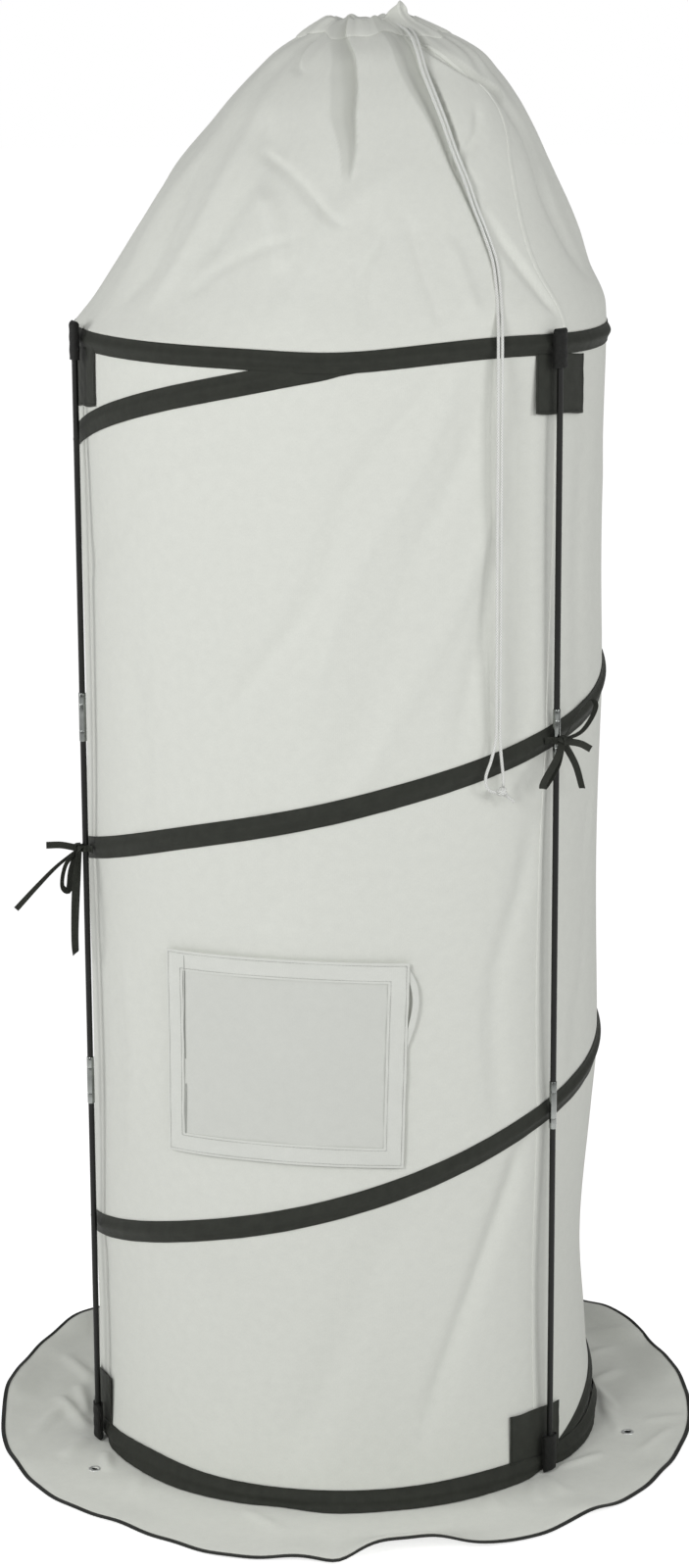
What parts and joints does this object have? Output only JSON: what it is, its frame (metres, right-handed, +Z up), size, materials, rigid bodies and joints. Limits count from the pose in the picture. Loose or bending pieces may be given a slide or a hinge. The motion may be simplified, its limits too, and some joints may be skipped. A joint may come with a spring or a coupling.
{
  "type": "pop-up cloth cylinder with drawstring hood",
  "caption": "Free-standing pop-up cloth cylinder on a sprung wire spiral, with outside poles, ground skirt, small hatch and a cone-shaped drawstring hood.",
  "frame": {"origin": "on the ground, at the centre of the cylinder and of the skirt's outline", "axes": "+Z up along the cylinder, -Y towards the front with the hatch, +X to the right seen from the front"},
  "size_m": [0.9754, 1.0174, 1.9412],
  "materials": {
    "cloth": "matt non-woven",
    "black_tape": "matt woven tape",
    "pocket_webbing": "matt webbing",
    "spring_steel": "drawn",
    "plated_steel": "plated",
    "rod_black": "pultruded glass fibre, black",
    "tip_plastic": "moulded",
    "elastic_black": "braided",
    "white_cord": "braided"
  },
  "bodies": {
    "base": {"wall_panel": "cloth", "spiral_sleeve": "black_tape", "spiral_wire": "spring_steel", "bottom_ring_sleeve": "black_tape", "bottom_ring_wire": "spring_steel", "ground_skirt": "cloth", "skirt_binding": "black_tape", "hatch_loop_frame": "cloth", "skirt_eyelet_left": "plated_steel", "skirt_eyelet_right": "plated_steel", "skirt_eyelet_rear": "plated_steel", "lower_patch_left": "black_tape", "lower_patch_right": "black_tape", "lower_patch_rear": "black_tape", "pole_tie_left": "black_tape", "pole_tie_right": "black_tape", "pole_tie_rear": "black_tape"},
    "top": {"top_ring_sleeve": "black_tape", "top_ring_wire": "spring_steel", "hood": "cloth", "hood_hem": "cloth", "hem_cord": "white_cord", "drawcord_strand_left": "white_cord", "drawcord_strand_right": "white_cord", "drawcord_knot": "white_cord", "pole_left_cap": "pocket_webbing", "pole_right_cap": "pocket_webbing", "pole_rear_cap": "pocket_webbing", "upper_patch_left": "black_tape", "upper_patch_right": "black_tape", "upper_patch_rear": "black_tape"},
    "hatch_flap": {"hatch_panel": "cloth", "hatch_border": "cloth"},
    "pole_left": {"pole_left_lower_rod": "rod_black", "pole_left_middle_rod": "rod_black", "pole_left_upper_rod": "rod_black", "pole_left_lower_ferrule": "plated_steel", "pole_left_upper_ferrule": "plated_steel", "pole_left_shock_cord": "elastic_black", "pole_left_foot_tip": "tip_plastic", "pole_left_top_tip": "tip_plastic", "pole_left_boot": "pocket_webbing"},
    "pole_right": {"pole_right_lower_rod": "rod_black", "pole_right_middle_rod": "rod_black", "pole_right_upper_rod": "rod_black", "pole_right_lower_ferrule": "plated_steel", "pole_right_upper_ferrule": "plated_steel", "pole_right_shock_cord": "elastic_black", "pole_right_foot_tip": "tip_plastic", "pole_right_top_tip": "tip_plastic", "pole_right_boot": "pocket_webbing"},
    "pole_rear": {"pole_rear_lower_rod": "rod_black", "pole_rear_middle_rod": "rod_black", "pole_rear_upper_rod": "rod_black", "pole_rear_lower_ferrule": "plated_steel", "pole_rear_upper_ferrule": "plated_steel", "pole_rear_shock_cord": "elastic_black", "pole_rear_foot_tip": "tip_plastic", "pole_rear_top_tip": "tip_plastic", "pole_rear_boot": "pocket_webbing"}
  },
  "joints": [
    {"name": "collapse", "type": "slide", "parent": "base", "child": "top", "axis": [0, 0, 1], "range_m": [-1.4, 0], "stiffness_N_per_m": 20, "springref_m": 0.3, "deforming": ["wall_panel", "spiral_sleeve", "spiral_wire", "hatch_loop_frame", "hatch_panel", "hatch_border", "lower_patch_left", "lower_patch_right", "lower_patch_rear", "pole_tie_left", "pole_tie_right", "pole_tie_rear", "hood", "drawcord_strand_left", "drawcord_strand_right", "drawcord_knot"]},
    {"name": "hatch_swing", "type": "hinge", "parent": "base", "child": "hatch_flap", "pos_m": [-0.22921, -0.26648, 0.61375], "axis": [0, 0, -1], "range_deg": [0, 140]},
    {"name": "pole_left_swing", "type": "hinge", "parent": "base", "child": "pole_left", "pos_m": [-0.34229, -0.12121, 0.012], "axis": [0.3338, -0.9426, 0], "range_deg": [0, 90]},
    {"name": "pole_right_swing", "type": "hinge", "parent": "base", "child": "pole_right", "pos_m": [0.27527, -0.2351, 0.012], "axis": [0.6494, 0.7604, 0], "range_deg": [0, 90]},
    {"name": "pole_rear_swing", "type": "hinge", "parent": "base", "child": "pole_rear", "pos_m": [0.06617, 0.35704, 0.012], "axis": [-0.9833, 0.1822, 0], "range_deg": [0, 90]}
  ],
  "couplings": [
    {"joint": "pole_left_swing", "follows": "collapse", "rad_per_m": -1.1219},
    {"joint": "pole_right_swing", "follows": "collapse", "rad_per_m": -1.1219},
    {"joint": "pole_rear_swing", "follows": "collapse", "rad_per_m": -1.1219}
  ]
}
